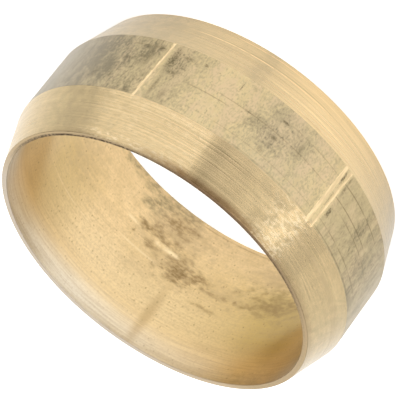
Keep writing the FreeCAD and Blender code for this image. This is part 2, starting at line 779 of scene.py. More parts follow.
@dataclass(frozen=True)
class DrawnBrass(BrassFinish):
    """Skin of the drawn tube, dulled by tarnish in patches, spotted and scratched."""

    name: str = "drawn_brass"
    bright: Colour = (0.785, 0.625, 0.350)
    dull: Colour = (0.557, 0.430, 0.228)
    blush: Colour = (0.63, 0.470, 0.290)
    roughness: float = 0.36
    anisotropy: float = 0.30
    relief_depth: float = 0.004
    tool_lines: Span = (0.10, 8.0)
    streak_grain: Grain = Grain((6.5, 6.5, 0.9), 5.0)
    mottle_grain: Grain = Grain((2.5, 2.5, 1.3), 3.0)
    smoke_grain: Grain = Grain(5.4, 7.0, 0.72)
    fine_grain: Grain = Grain((12.0, 12.0, 7.0), 4.0)
    tint_grain: Grain = Grain((1.7, 1.7, 0.8), 4.0)
    fleck_grain: Grain = Grain(10.0, 3.0, 0.6)
    film: Colour = (0.460, 0.370, 0.208)
    heavy: Colour = (0.210, 0.173, 0.100)
    grey: Colour = (0.345, 0.306, 0.240)
    soot: Colour = (0.085, 0.066, 0.034)
    scratch: Colour = (0.170, 0.125, 0.060)
    tarnish: Levels = (
        (-180.0, 0.50), (-165.0, 0.60), (-150.0, 0.74), (-140.0, 0.64), (-130.0, 0.56), (-121.6, 0.46),
        (-121.0, 0.18), (-117.4, 0.18), (-116.8, 0.28), (-111.0, 0.25), (-104.0, 0.25), (-96.0, 0.26),
        (-88.0, 0.27), (-82.0, 0.24), (-79.0, 0.18), (-74.0, 0.16), (-69.0, 0.30), (-62.0, 0.54),
        (-58.0, 0.56), (-57.0, 0.26), (-55.2, 0.24), (-54.4, 0.56), (-49.0, 0.68), (-42.0, 0.73),
        (-31.0, 0.90), (-18.0, 0.60), (0.0, 0.50), (90.0, 0.42), (180.0, 0.50),
    )
    greying: Levels = (
        (-180.0, 0.12), (-172.0, 0.26), (-165.0, 0.34), (-150.0, 0.14), (-138.0, 0.0), (-116.0, 0.05),
        (-106.0, 0.18), (-94.0, 0.20), (-84.0, 0.06), (-70.0, 0.08), (-52.0, 0.03), (-44.0, 0.10),
        (-36.0, 0.26), (-28.0, 0.56), (-16.0, 0.78), (2.0, 0.52), (28.0, 0.26), (60.0, 0.12),
        (180.0, 0.12),
    )
    graininess: Levels = (
        (-180.0, 0.40), (-126.0, 0.52), (-115.0, 1.0), (-66.0, 1.0), (-50.0, 0.86), (-40.0, 0.68),
        (-24.0, 0.55), (0.0, 0.40), (180.0, 0.40),
    )
    clouds: tuple[Patch, ...] = (
        Patch(-95.5, 3.75, 1.05, 0.85, 0.46),
        Patch(-102.8, 3.20, 0.80, 1.10, 0.36),
        Patch(-89.8, 3.65, 0.85, 0.60, 0.42),
        Patch(-94.5, 2.70, 0.95, 0.60, 0.36),
        Patch(-136.4, 3.40, 0.35, 1.40, 0.26),
        Patch(-60.0, 3.10, 0.70, 0.80, 0.24),
        Patch(-49.5, 2.85, 0.95, 0.65, 0.22),
        Patch(-40.0, 3.95, 0.95, 0.90, 0.20),
        Patch(-51.0, 5.10, 0.40, 0.40, 0.22),
        Patch(-35.0, 2.90, 1.10, 0.80, 0.22),
    )
    spots: tuple[Patch, ...] = (
        Patch(-58.0, 2.95, 0.20, 0.75, 1.0),
        Patch(-58.4, 4.50, 0.10, 0.70, 0.6),
        Patch(-60.2, 3.60, 0.26, 0.14, 0.8),
        Patch(-62.0, 4.80, 0.16, 0.36, 0.45),
        Patch(-62.2, 2.65, 0.30, 0.10, 0.7),
        Patch(-50.6, 3.05, 0.20, 0.70, 0.55),
        Patch(-49.2, 3.20, 0.36, 0.10, 0.7),
        Patch(-52.5, 2.55, 0.22, 0.16, 0.9),
        Patch(-47.6, 2.62, 0.24, 0.14, 0.8),
        Patch(-44.4, 3.42, 0.32, 0.12, 0.7),
        Patch(-51.0, 5.15, 0.16, 0.18, 0.5),
        Patch(-42.6, 4.55, 0.10, 0.20, 0.7),
        Patch(-119.7, 3.75, 0.05, 0.50, 0.60),
        Patch(-36.2, 4.45, 0.22, 0.36, 0.32),
        Patch(-67.8, 2.60, 0.11, 0.10, 1.0),
        Patch(-80.0, 2.65, 0.04, 0.28, 0.8),
        Patch(-95.7, 3.75, 0.16, 0.12, 0.70),
        Patch(-94.5, 4.60, 0.16, 0.18, 0.45),
        Patch(-95.8, 2.81, 0.22, 0.07, 1.0),
        Patch(-122.2, 2.40, 0.06, 0.22, 0.80),
        Patch(-103.9, 3.40, 0.12, 0.40, 0.40),
        Patch(-122.3, 4.22, 0.12, 0.34, 1.0),
        Patch(-122.2, 3.00, 0.08, 0.45, 0.7),
        Patch(-85.6, 3.50, 0.22, 0.06, 0.6),
        Patch(-145.0, 4.00, 0.10, 0.09, 0.6),
        Patch(-119.6, 2.62, 0.07, 0.50, 1.0),
    )
    hairs: tuple[Scratch, ...] = (
        Scratch(-136.0, 5.22, 3.0, 0.68, 0.05),
        Scratch(-100.0, 5.22, 3.6, 0.34, 0.05),
        Scratch(-138.0, 4.80, 3.2, 0.56, 0.045),
        Scratch(-96.0, 4.80, 4.4, 0.24, 0.04),
        Scratch(-140.0, 3.83, 2.4, 0.58, 0.045),
        Scratch(-73.0, 3.80, 1.3, 0.42, 0.045),
        Scratch(-131.0, 3.48, 2.2, 0.70, 0.045),
        Scratch(-95.0, 3.50, 3.9, 0.40, 0.045),
        Scratch(-133.0, 2.70, 2.4, 0.70, 0.045),
        Scratch(-108.0, 2.72, 1.8, 0.34, 0.04),
        Scratch(-48.0, 2.53, 1.3, 0.40, 0.04),
    )

    def lay(self, metal: MetalBoard) -> None:
        """Lays out drawing streaks, tarnish, soot spots and scratches.

        Args:
            metal: the board of the band's material.
        """
        lines, _ = metal.turning(*self.tool_lines)
        streaks, mottle = metal.grain(self.streak_grain), metal.grain(self.mottle_grain)
        smoke, fine = metal.grain(self.smoke_grain), metal.grain(self.fine_grain)
        tints = metal.grain(self.tint_grain)
        grain = metal.ramp(fine, 0.36, 0.64, 0.0, 0.70)
        shade = metal.math("MULTIPLY_ADD", metal.ramp(streaks, 0.32, 0.68), 0.40, grain)
        metal.ground(shade, self.dull, self.bright)
        metal.coat(metal.ramp(tints, 0.44, 0.64, 0.0, 0.6), self.blush)
        level = metal.times(metal.levels(self.tarnish), metal.ramp(mottle, *NOISE_SPAN, 0.80, 1.20))
        level = metal.math("ADD", level, metal.stains(self.clouds, smoke, ragged=3.6))
        level = metal.math("MULTIPLY_ADD", metal.math("SUBTRACT", streaks, 0.5), 0.32, level)
        specks = metal.times(metal.math("SUBTRACT", fine, 0.5), metal.levels(self.graininess))
        level = metal.math("MULTIPLY_ADD", specks, 1.80, level)
        metal.coat(metal.ramp(level, 0.0, 0.5), self.film)
        metal.coat(metal.ramp(tints, 0.46, 0.60, 0.0, 0.26), self.blush)
        metal.coat(metal.ramp(level, 0.45, 1.15), self.heavy)
        metal.coat(metal.levels(self.greying), self.grey)
        hairs = metal.scratches(self.hairs)
        metal.coat(hairs, self.scratch)
        broken = metal.ramp(metal.grain(self.fleck_grain), 0.32, 0.58, 0.25, 1.0)
        black = metal.times(metal.stains(self.spots, fine, ragged=3.0, soft=0.75), broken)
        black = metal.math("MAXIMUM", black, metal.times(metal.dots(scale=1.9, size=0.10, share=0.30), 0.40))
        metal.coat(metal.times(black, 0.80), self.soot)
        rough = metal.between(level, self.roughness, self.roughness + 0.10)
        cut = metal.math("MAXIMUM", black, hairs)
        skin = metal.math("ADD", lines, streaks)
        grit = metal.times(specks, 0.7)
        relief = metal.math("MULTIPLY_ADD", skin, 0.12, metal.math("SUBTRACT", grit, cut))
        metal.close(rough, relief, self.relief_depth)


@dataclass(frozen=True)
class BoredBrass(BrassFinish):
    """Inside of the ring: bored smooth, pitted and stained brown, with painted reflections paling its upper
    far wall, its near wall and its mouth, and painted shade in its haze and at its foot.
    """

    name: str = "bored_brass"
    bright: Colour = (0.845, 0.640, 0.360)
    dull: Colour = (0.745, 0.560, 0.304)
    # The upper tone is painted reflection on the bore walls, and also the tone of the light lines.
    upper: Colour = (0.94, 0.768, 0.478)
    mouth_painted_reflection: Colour = (1.0, 0.965, 0.860)
    film: Colour = (0.47, 0.347, 0.104)
    shadow: Colour = (0.52, 0.385, 0.200)
    # The veil tone serves real haze, dust, tool lines and halos, and painted shade at the far wall's foot.
    veil_and_foot_shade: Colour = (0.44, 0.332, 0.192)
    stain: Colour = (0.300, 0.208, 0.096)
    umber: Colour = (0.40, 0.298, 0.132)
    verdigris: Colour = (0.27, 0.225, 0.125)
    roughness: float = 0.28
    anisotropy: float = 0.60
    relief_depth: float = 0.004
    upper_reach: Span = (5.0, 1.6)
    fading_reach: Span = (2.6, 0.8)
    mouth_reach: Span = (1.6, 0.4)
    line_reach: Span = (2.4, 1.0)
    soft_reach: Span = (0.9, 0.2)
    foot_reach: Span = (0.2, 2.4)
    foot_fading: Span = (0.6, 3.0)
    tool_lines: Span = (0.40, 11.0)
    mottle_grain: Grain = Grain(1.7, 5.0, 0.62)
    dust_grain: Grain = Grain((9.0, 9.0, 11.0), 3.0)
    stain_grain: Grain = Grain((1.9, 1.9, 3.4), 7.0)
    fine_grain: Grain = Grain((4.0, 4.0, 7.0), 5.0)
    # Haze levels round the bore: partly real haze, partly painted shade and dark reflections.
    haze_and_painted_shade: Levels = (
        (-180.0, 0.10), (-150.0, 0.05), (-30.0, 0.05), (0.0, 0.16), (24.0, 0.34), (36.0, 0.54),
        (45.0, 0.48), (54.0, 0.30), (62.0, 0.06), (72.0, 0.0), (82.0, 0.10), (95.0, 0.18), (105.0, 0.20),
        (116.0, 0.34), (126.0, 0.52), (136.0, 0.80), (152.0, 0.92), (165.0, 0.66), (172.0, 0.40),
        (180.0, 0.10),
    )
    # How far the mouth is paled round the bore, as painted reflection.
    pale: Levels = (
        (-180.0, 0.80), (-150.0, 0.50), (-20.0, 0.40), (0.0, 0.95), (28.0, 1.0), (74.0, 1.0),
        (84.0, 0.84), (94.0, 0.70), (108.0, 0.52), (128.0, 0.30), (142.0, 0.04), (160.0, 0.30),
        (180.0, 0.80),
    )
    # The bore's far wall: there the painted foot shade lies and the upper wall is paled by height; the near
    # wall is paled all over.
    far_side: Levels = (
        (-180.0, 0.6), (-150.0, 0.0), (-30.0, 0.0), (10.0, 1.0), (165.0, 1.0), (180.0, 0.6),
    )
    matte: Levels = (
        (-180.0, 0.10), (-165.0, 0.0), (-20.0, 0.0), (-5.0, 0.46), (4.0, 0.58), (14.0, 0.46),
        (24.0, 0.24), (40.0, 0.12), (55.0, 0.0), (160.0, 0.0), (170.0, 0.20), (180.0, 0.10),
    )
    stains: tuple[Patch, ...] = (
        Patch(99.5, 3.05, 1.15, 0.66, 1.0),
        Patch(106.0, 2.80, 0.80, 0.46, 0.85),
        Patch(98.5, 3.48, 0.95, 0.18, 0.75),
        Patch(97.5, 2.45, 0.70, 0.50, 0.60),
        Patch(82.0, 2.06, 0.90, 0.24, 0.95),
        Patch(91.5, 2.00, 1.25, 0.36, 0.80),
        Patch(87.0, 1.70, 0.80, 0.35, 0.55),
        Patch(85.0, 2.65, 0.45, 0.26, 0.75),
        Patch(90.5, 1.00, 0.95, 0.62, 0.85),
        Patch(113.0, 4.00, 1.00, 0.16, 0.52),
        Patch(115.5, 3.15, 1.00, 0.17, 0.46),
        Patch(122.5, 3.10, 0.16, 0.20, 0.80),
        Patch(129.0, 3.00, 0.55, 0.20, 0.40),
        Patch(137.5, 2.75, 1.10, 0.54, 0.58),
        Patch(145.0, 2.50, 0.90, 0.44, 0.58),
        Patch(77.6, 2.62, 0.10, 0.20, 0.90),
        Patch(149.0, 6.85, 1.60, 0.50, 0.22),
    )
    halo: tuple[Patch, ...] = (
        Patch(91.0, 1.30, 2.20, 1.60, 0.60),
        Patch(97.0, 2.80, 1.70, 1.20, 0.52),
        Patch(84.0, 2.60, 1.20, 0.55, 0.38),
        Patch(121.0, 2.90, 2.40, 0.90, 0.34),
        Patch(133.0, 1.20, 1.80, 1.00, 0.45),
        Patch(46.0, 2.20, 1.80, 1.70, 0.34),
        Patch(86.0, 4.00, 1.40, 0.50, 0.26),
    )
    side_halo: tuple[Patch, ...] = (
        Patch(140.0, 2.65, 2.40, 1.25, 1.0),
        Patch(149.0, 3.20, 2.00, 1.60, 0.45),
    )
    edge_stains: tuple[Patch, ...] = (
        Patch(80.0, 0.55, 0.75, 0.52, 0.95),
        Patch(77.0, 1.05, 0.85, 0.36, 0.80),
        Patch(66.0, 0.10, 1.60, 0.48, 0.80),
        Patch(74.0, 0.25, 0.80, 0.40, 0.85),
        Patch(85.0, 0.20, 1.50, 0.50, 0.70),
    )
    strip: Patch = Patch(99.3, 5.60, 0.38, 2.40, 0.62)
    foot_ring: Scratch = Scratch(110.0, 0.20, 2.6, 0.55, 0.06)
    lights: tuple[Scratch, ...] = (
        Scratch(74.0, 6.22, 3.6, 0.40),
        Scratch(62.0, 5.85, 3.2, 0.40),
        Scratch(92.0, 6.30, 1.6, 0.45),
        Scratch(60.0, 4.10, 4.0, 0.30),
        Scratch(83.0, 3.27, 1.3, 0.45, 0.10),
        Scratch(91.5, 2.37, 0.85, 0.85, 0.20),
        Scratch(76.0, 2.25, 0.55, 0.60, 0.14),
    )

    def lay(self, metal: MetalBoard) -> None:
        """Lays out boring lines, haze with painted shade, painted paler reflections, stains and pits.

        Args:
            metal: the board of the bore's material.
        """
        lines, _ = metal.turning(*self.tool_lines)
        mottle = metal.grain(self.mottle_grain)
        metal.ground(metal.ramp(mottle, *NOISE_SPAN), self.dull, self.bright)
        # Painted reflection: the upper far wall and the whole near wall are paled towards the upper tone.
        high = metal.below_end(self.length, self.upper_reach, 0.0, 0.9)
        far = metal.levels(self.far_side)
        metal.coat(metal.between(far, 0.9, high), self.upper)
        # The haze, partly painted shade, thins towards the upper end and towards the foot.
        fading = metal.below_end(self.length, self.fading_reach, 1.0, 0.42)
        fading = metal.times(fading, metal.ramp(metal.height, *self.foot_fading, 0.18, 1.0))
        metal.coat(metal.times(metal.levels(self.haze_and_painted_shade), fading), self.film)
        # Painted reflection: near the mouth the bore is paled almost to white.
        top = metal.below_end(self.length, self.mouth_reach)
        metal.coat(metal.times(top, metal.levels(self.pale)), self.mouth_painted_reflection)
        # Painted shade: the far wall darkens towards the foot.
        metal.coat(metal.times(metal.ramp(metal.height, *self.foot_reach, 0.24, 0.0), far), self.veil_and_foot_shade)
        near_top = metal.below_end(self.length, self.line_reach)
        scored = metal.between(near_top, 0.20, 0.29)
        metal.coat(metal.ramp(lines, 0.30, 0.66, scored, 0.0), self.veil_and_foot_shade)
        dusty = metal.between(near_top, 0.28, 0.14)
        metal.coat(metal.ramp(metal.grain(self.dust_grain), 0.40, 0.68, 0.0, dusty), self.veil_and_foot_shade)
        grain, fine = metal.grain(self.stain_grain), metal.grain(self.fine_grain)
        metal.coat(metal.stains((self.strip,), grain=0.5, ragged=0.0), self.shadow)
        metal.coat(metal.scratches((self.foot_ring,)), self.stain)
        spread = metal.ramp(fine, 0.32, 0.66, 0.7, 1.2)
        for patches, tone in ((self.halo, self.veil_and_foot_shade), (self.side_halo, self.umber)):
            metal.coat(metal.times(metal.stains(patches, grain, ragged=2.4), spread), tone)
        metal.coat(metal.scratches(self.lights), self.upper)
        grit = metal.ramp(fine, 0.34, 0.64, 0.30, 1.0)
        brown = metal.times(metal.stains(self.stains, grain, ragged=2.6), grit)
        metal.coat(brown, self.stain)
        metal.coat(metal.times(metal.stains(self.edge_stains, grain, ragged=2.2), grit), self.verdigris)
        sparse = metal.ramp(mottle, 0.38, 0.60, 0.15, 1.0)
        dots = metal.times(metal.dots(scale=3.1, size=0.16, share=0.70, tall=1.3), sparse)
        metal.coat(metal.times(dots, metal.between(near_top, 0.66, 0.30)), self.stain)
        metal.feed(metal.shader.inputs["Metallic"], metal.math("SUBTRACT", 1.0, metal.levels(self.matte)))
        soft = metal.below_end(self.length, self.soft_reach, self.roughness, self.roughness + 0.14)
        rough = metal.math("MULTIPLY_ADD", brown, 0.12, soft)
        relief = metal.math("MULTIPLY_ADD", dots, -0.4, metal.times(lines, 0.3))
        metal.close(rough, relief, self.relief_depth)


@dataclass(frozen=True)
class RimBrass(BrassFinish):
    """Narrow end rim, matt from the parting tool: pale and grey on one side, browned on the other and dark
    along the bore there, with a painted shadow line along the bore at the foot on the far side."""

    name: str = "rim_brass"
    bright: Colour = (0.60, 0.450, 0.245)
    dull: Colour = (0.48, 0.350, 0.182)
    pale: Colour = (0.74, 0.570, 0.345)
    worn: Colour = (0.79, 0.695, 0.570)
    brown: Colour = (0.230, 0.132, 0.062)
    # Dark tone of the line along the bore, and of the painted foot shadow.
    dark: Colour = (0.075, 0.046, 0.021)
    roughness: float = 0.55
    anisotropy: float = 0.0
    relief_depth: float = 0.003
    crossover: float = 0.1
    line_edge: Span = (0.09, 0.17)
    burr_grain: Grain = Grain(5.0, 4.0, 0.65)
    gap_grain: Grain = Grain(8.0, 3.0, 0.65)
    paleness: Levels = (
        (-180.0, 0.60), (-158.0, 0.60), (-140.0, 0.40), (-120.0, 0.20), (-104.0, 0.05), (-74.0, 0.05),
        (-62.0, 0.40), (-38.0, 0.60), (-20.0, 0.66), (0.0, 0.86), (15.0, 1.0), (140.0, 1.0),
        (155.0, 0.50), (180.0, 0.60),
    )
    browning: Levels = (
        (-180.0, 0.0), (-150.0, 0.05), (-126.0, 0.40), (-106.0, 0.90), (-82.0, 0.95), (-70.0, 0.50),
        (-60.0, 0.05), (-30.0, 0.0), (180.0, 0.0),
    )
    bore_line: Levels = (
        (-180.0, 0.0), (-160.0, 0.10), (-145.0, 0.22), (-134.0, 0.55), (-124.0, 0.70), (-110.0, 0.45),
        (-72.0, 0.50), (-60.0, 1.0), (-32.0, 1.0), (-20.0, 0.85), (-8.0, 0.50), (2.0, 0.0), (180.0, 0.0),
    )
    wear: Levels = (
        (-180.0, 0.30), (-165.0, 0.05), (-16.0, 0.0), (-4.0, 0.30), (14.0, 1.0), (100.0, 1.0),
        (125.0, 0.50), (150.0, 0.25), (180.0, 0.30),
    )
    # Painted shadow: a dark line along the bore's lower edge, on the far side.
    painted_foot_shadow: Levels = (
        (-180.0, 0.0), (50.0, 0.0), (58.0, 0.75), (100.0, 0.70), (110.0, 0.25), (128.0, 0.10),
        (180.0, 0.0),
    )

    def lay(self, metal: MetalBoard) -> None:
        """Lays out burrs, browning, the dark line along the bore and the painted shadow line at the foot.

        Args:
            metal: the board of the rims' material.
        """
        burr = metal.grain(self.burr_grain)
        metal.ground(metal.ramp(burr, 0.35, 0.65), self.dull, self.bright)
        pale = metal.times(metal.levels(self.paleness), metal.ramp(burr, 0.3, 0.65, 0.80, 1.0))
        metal.coat(pale, metal.blend(metal.levels(self.wear), self.pale, self.worn))
        brown = metal.times(metal.levels(self.browning), metal.ramp(burr, 0.3, 0.65, 1.05, 0.80))
        metal.coat(brown, self.brown)
        level = metal.vector("MULTIPLY", metal.place, ACROSS_AXIS).outputs[0]
        across = metal.vector("LENGTH", level).outputs["Value"]
        start, end = (self.radius + width for width in self.line_edge)
        line = metal.ramp(across, start, end, 1.0, 0.0)
        line = metal.times(line, metal.ramp(metal.grain(self.gap_grain), 0.40, 0.56, 0.25, 1.0))
        # Below the middle the dark line is painted shadow at the foot; above it, it is the dark line along
        # the bore.
        foot_shadow, head = metal.levels(self.painted_foot_shadow), metal.levels(self.bore_line)
        low, high = self.middle - self.crossover, self.middle + self.crossover
        metal.coat(metal.times(line, metal.ramp(metal.height, low, high, foot_shadow, head)), self.dark)
        rough = metal.ramp(burr, *NOISE_SPAN, self.roughness - 0.05, self.roughness + 0.08)
        metal.close(rough, burr, self.relief_depth)


@dataclass(frozen=True)
class ScoredBrass(BrassFinish):
    """Cleaner metal in the score marks, with a painted highlight along the line where each went deepest."""

    name: str = "scored_brass"
    bright: Colour = (0.81, 0.625, 0.362)
    dull: Colour = (0.50, 0.380, 0.216)
    roughness: float = 0.32
    anisotropy: float = 0.0
    relief_depth: float = 0.003
    lean: float = SCORE_LEAN
    sway_turns: float = 0.0016
    streak_grain: Grain = Grain((10.0, 10.0, 1.6), 4.0)
    sway_grain: Grain = Grain(1.6, 2.0)
    # Partly the cleaner metal of the marks, partly painted highlights along them.
    clean_metal_and_glint: Levels = (
        (-180.0, 0.40), (-121.6, 0.40), (-121.3, 0.70), (-120.9, 0.95), (-120.4, 0.80), (-120.0, 0.40),
        (-119.2, 0.35), (-118.8, 0.90), (-118.0, 1.0), (-117.5, 0.70), (-117.2, 0.45), (-58.0, 0.10),
        (-55.7, 0.20), (-55.4, 0.60), (-55.1, 1.0), (-54.6, 1.0), (-54.3, 0.20), (0.0, 0.40),
        (180.0, 0.40),
    )

    def lay(self, metal: MetalBoard) -> None:
        """Lays out the painted bright lines and streaks along the marks.

        Args:
            metal: the board of the marks' material.
        """
        streaks = metal.grain(self.streak_grain)
        sway = metal.math("SUBTRACT", metal.grain(self.sway_grain), 0.5)
        lean_turns = self.lean / 360.0
        slant = metal.math("MULTIPLY_ADD", metal.height, -lean_turns, lean_turns * self.middle)
        clean_metal_and_glint = metal.levels(self.clean_metal_and_glint, metal.math("MULTIPLY_ADD", sway, self.sway_turns, slant))
        clean_metal_and_glint = metal.times(clean_metal_and_glint, metal.ramp(streaks, 0.34, 0.60, 0.55, 1.08))
        metal.ground(clean_metal_and_glint, self.dull, self.bright)
        rough = metal.ramp(streaks, *NOISE_SPAN, self.roughness + 0.05, self.roughness - 0.05)
        metal.close(rough, streaks, self.relief_depth)


# The ring


@dataclass(frozen=True)
class ScoreMark:
    """A score along the band: a wall runs down to its bottom, and another side comes up from it. Its
    lean is how many degrees round the ring it goes in each millimetre up."""

    angle: float
    wall: float
    rise: float
    depth: float
    wander: float
    lean: float = SCORE_LEAN
    middle: float = 3.7
    slow_sway: float = 2.1
    quick_sway: float = 5.3
    quick_share: float = 0.6

    def depth_at(self, angles: np.ndarray, heights: np.ndarray, radius: float) -> np.ndarray:
        """Depth of the score over the outside.

        Args:
            angles: angles in degrees, one for each column.
            heights: heights in millimetres, one for each row.
            radius: radius of the band.

        Returns:
            Depths in millimetres by row and column, zero away from the score.
        """
        slow, quick = np.sin(self.slow_sway * heights + self.angle), np.sin(self.quick_sway * heights)
        sway = self.wander * (slow + self.quick_share * quick)
        slant = np.radians(self.lean) * (heights - self.middle) * radius
        turn = np.radians((angles - self.angle + 180.0) % 360.0 - 180.0)
        away = turn[None, :] * radius + (sway - slant)[:, None]
        share = np.where(away > 0, away / self.wall, -away / self.rise)
        return self.depth * np.clip(1.0 - share, 0.0, 1.0)


@dataclass
class SectionRow:
    """One line of the mesh round the ring: its place on the section and which way is out there."""

    radius: float
    height: float
    out_radius: float
    out_height: float
    zone: Zone


@dataclass
class OliveRing:
    """The ring as one closed mesh, finely enough divided to hold its tool marks and scores."""

    length: float
    band_radius: float
    bore_radius: float
    band_width: float = 3.16
    rim_wall: float = 0.25
    band_edge: float = 0.10
    rim_edge: float = 0.018
    bore_edge: float = 0.022
    rim_steps: int = 6
    bevel_steps: int = 40
    band_steps: int = 32
    bore_steps: int = 24
    arc_steps: int = 4
    columns_round: int = 420
    fine_step: float = 0.15
    fine_reach: float = 2.4
    tool_mark: float = 0.0005
    bore_mark_share: float = 0.4
    rim_burr: float = 0.002
    waves_round: tuple[int, ...] = (3, 5, 11, 23, 41)
    wave_phase: float = 6.28
    wave_share: float = 0.3
    score_margin: float = 0.002
    seed: int = 15
    scores: tuple[ScoreMark, ...] = (
        ScoreMark(-54.8, 0.05, 0.10, 0.030, 0.012),
        ScoreMark(-118.4, 0.14, 0.10, 0.036, 0.006),
        ScoreMark(-120.7, 0.08, 0.07, 0.036, 0.006),
    )
    rows: list[SectionRow] = field(default_factory=list)

    def corners(self) -> list[tuple[float, float, float, int, Zone]]:
        """Corners of the section in order round it.

        Returns:
            For each: radius, height, rounding, divisions of the run that follows, and that run's zone.
        """
        rim_radius = self.bore_radius + self.rim_wall
        bevel = (self.length - self.band_width) / 2
        return [
            (self.bore_radius, 0.0, self.bore_edge, self.rim_steps, Zone.RIM),
            (rim_radius, 0.0, self.rim_edge, self.bevel_steps, Zone.BEVEL),
            (self.band_radius, bevel, self.band_edge, self.band_steps, Zone.BAND),
            (self.band_radius, bevel + self.band_width, self.band_edge, self.bevel_steps, Zone.BEVEL),
            (rim_radius, self.length, self.rim_edge, self.rim_steps, Zone.RIM),
            (self.bore_radius, self.length, self.bore_edge, self.bore_steps, Zone.BORE),
        ]

    def divide(self) -> None:
        """Fills the rows: runs between rounded corners, and the corners' arcs."""
        corners = self.corners()
        count = len(corners)
        spots = [Vector((radius, height)) for radius, height, *_ in corners]
        arcs: list[tuple[Vector, Vector, Vector]] = []
        for index, (spot, corner) in enumerate(zip(spots, corners)):
            rounding = corner[2]
            to_last = (spots[index - 1] - spot).normalized()
            to_next = (spots[(index + 1) % count] - spot).normalized()
            half = to_last.angle(to_next) / 2
            setback = rounding / math.tan(half)
            centre = spot + (to_last + to_next).normalized() * (rounding / math.sin(half))
            arcs.append((spot + to_last * setback, centre, spot + to_next * setback))
        for index, (_, _, rounding, steps, zone) in enumerate(corners):
            start, centre, end = arcs[index]
            corner_zone = self.corner_zone(corners[index - 1][4], zone)
            first, last = (start - centre).normalized(), (end - centre).normalized()
            for step in range(self.arc_steps):
                out = first.slerp(last, step / self.arc_steps)
                self.rows.append(SectionRow(*(centre + out * rounding), *out, corner_zone))
            run_end = arcs[(index + 1) % count][0]
            for step in range(steps):
                spot = end.lerp(run_end, step / steps)
                self.rows.append(SectionRow(*spot, *last, zone))

    @staticmethod
    def corner_zone(before: Zone, after: Zone) -> Zone:
        """Zone of the rounded corner between two runs: the bore's edge belongs to the rim, the rim's outer
        edge to the bevel and the bevel's other edge to the band.

        Args:
            before: zone of the run before the corner.
            after: zone of the run after it.

        Returns:
            The corner's zone.
        """
        if Zone.BORE in (before, after):
            return Zone.RIM
        return Zone.BEVEL if Zone.RIM in (before, after) else Zone.BAND

    def angles(self) -> np.ndarray:
        """Angles of the columns, closer together across the scores.

        Returns:
            Angles in degrees, in rising order over one turn.
        """
        coarse = np.arange(self.columns_round) * 360.0 / self.columns_round - 180.0
        near = np.zeros(len(coarse), bool)
        fine = []
        for score in self.scores:
            near |= np.abs(coarse - score.angle) < self.fine_reach
            start, end = score.angle - self.fine_reach, score.angle + self.fine_reach
            fine.append(np.arange(start, end, self.fine_step))
        merged = np.sort(np.concatenate([coarse[~near], *fine]))
        return merged[np.concatenate([[True], np.diff(merged) > self.fine_step / 2])]

    def sunk(self, angles: np.ndarray) -> np.ndarray:
        """How far each vertex lies under the plain section: tool marks and burrs.

        Args:
            angles: angles of the columns.

        Returns:
            Depths in millimetres, by row and column.
        """
        draw = np.random.default_rng(self.seed)
        depth = np.zeros((len(self.rows), len(angles)))
        turn = np.radians(angles)
        waves = np.zeros(len(angles))
        for count in self.waves_round:
            waves += draw.random() * np.sin(count * turn + draw.random() * self.wave_phase)
        waves *= 2.0 / len(self.waves_round)
        for index, row in enumerate(self.rows):
            mark = draw.random() * self.tool_mark
            if row.zone is Zone.BEVEL:
                depth[index] = mark * (1.0 + self.wave_share * waves)
            elif row.zone is Zone.RIM:
                depth[index] = self.rim_burr * draw.random(len(angles))
            elif row.zone is Zone.BORE:
                depth[index] = self.bore_mark_share * mark
        return depth

    def build(self) -> bpy.types.Object:
        """Makes the mesh and its object.

        Returns:
            The ring, with one material slot waiting for each zone.
        """
        self.divide()
        angles = self.angles()
        turn = np.radians(angles)
        sunk = self.sunk(angles)
        section = np.array([(row.radius, row.height, row.out_radius, row.out_height) for row in self.rows])
        radius = section[:, 0:1] - sunk * section[:, 2:3]
        height = section[:, 1:2] - sunk * section[:, 3:4]
        outside = np.array([row.zone in (Zone.BEVEL, Zone.BAND) for row in self.rows])[:, None]
        cuts = [score.depth_at(angles, section[:, 1], self.band_radius) for score in self.scores]
        floor = self.band_radius - np.max(cuts, axis=0)
        radius = np.where(outside, np.minimum(radius, floor), radius)
        points = np.stack([radius * np.cos(turn), radius * np.sin(turn), height], axis=-1).reshape(-1, 3) * MM
        count, round_count = len(self.rows), len(angles)
        row_index, column_index = np.meshgrid(np.arange(count), np.arange(round_count), indexing="ij")
        next_row, next_column = (row_index + 1) % count, (column_index + 1) % round_count
        quads = np.stack(
            [
                row_index * round_count + column_index,
                row_index * round_count + next_column,
                next_row * round_count + next_column,
                next_row * round_count + column_index,
            ],
            axis=-1,
        ).reshape(-1, 4)
        mesh = bpy.data.meshes.new("olive_ring")
        mesh.from_pydata(points.tolist(), [], quads.tolist())
        slots = np.repeat([[row.zone.value] for row in self.rows], round_count, axis=1)
        cut = outside & (section[:, 0:1] > floor + self.score_margin)
        cut = cut & np.roll(cut, -1, axis=0) & np.roll(cut, -1, axis=1)
        slots[cut] = Zone.SCORE.value
        mesh.polygons.foreach_set("material_index", slots.reshape(-1).astype(np.int32))
        mesh.polygons.foreach_set("use_smooth", np.ones(len(quads), bool))
        mesh.update()
        ring = bpy.data.objects.new("olive_ring", mesh)
        bpy.context.scene.collection.objects.link(ring)
        return ring

    def dress(self, ring: bpy.types.Object, effects: Effects) -> None:
        """Gives each zone its finish.

        Args:
            ring: the ring's object.
            effects: the shared groups.
        """
        finishes = {
            Zone.BEVEL: TurnedBrass(self.band_radius, self.length),
            Zone.BAND: DrawnBrass(self.band_radius, self.length),
            Zone.BORE: BoredBrass(self.bore_radius, self.length),
            Zone.RIM: RimBrass(self.bore_radius, self.length),
            Zone.SCORE: ScoredBrass(self.band_radius, self.length),
        }
        for zone in Zone:
            ring.data.materials.append(finishes[zone].material(effects))
            log.info("finish %s on %s", finishes[zone].name, zone.name.lower())


# The studio


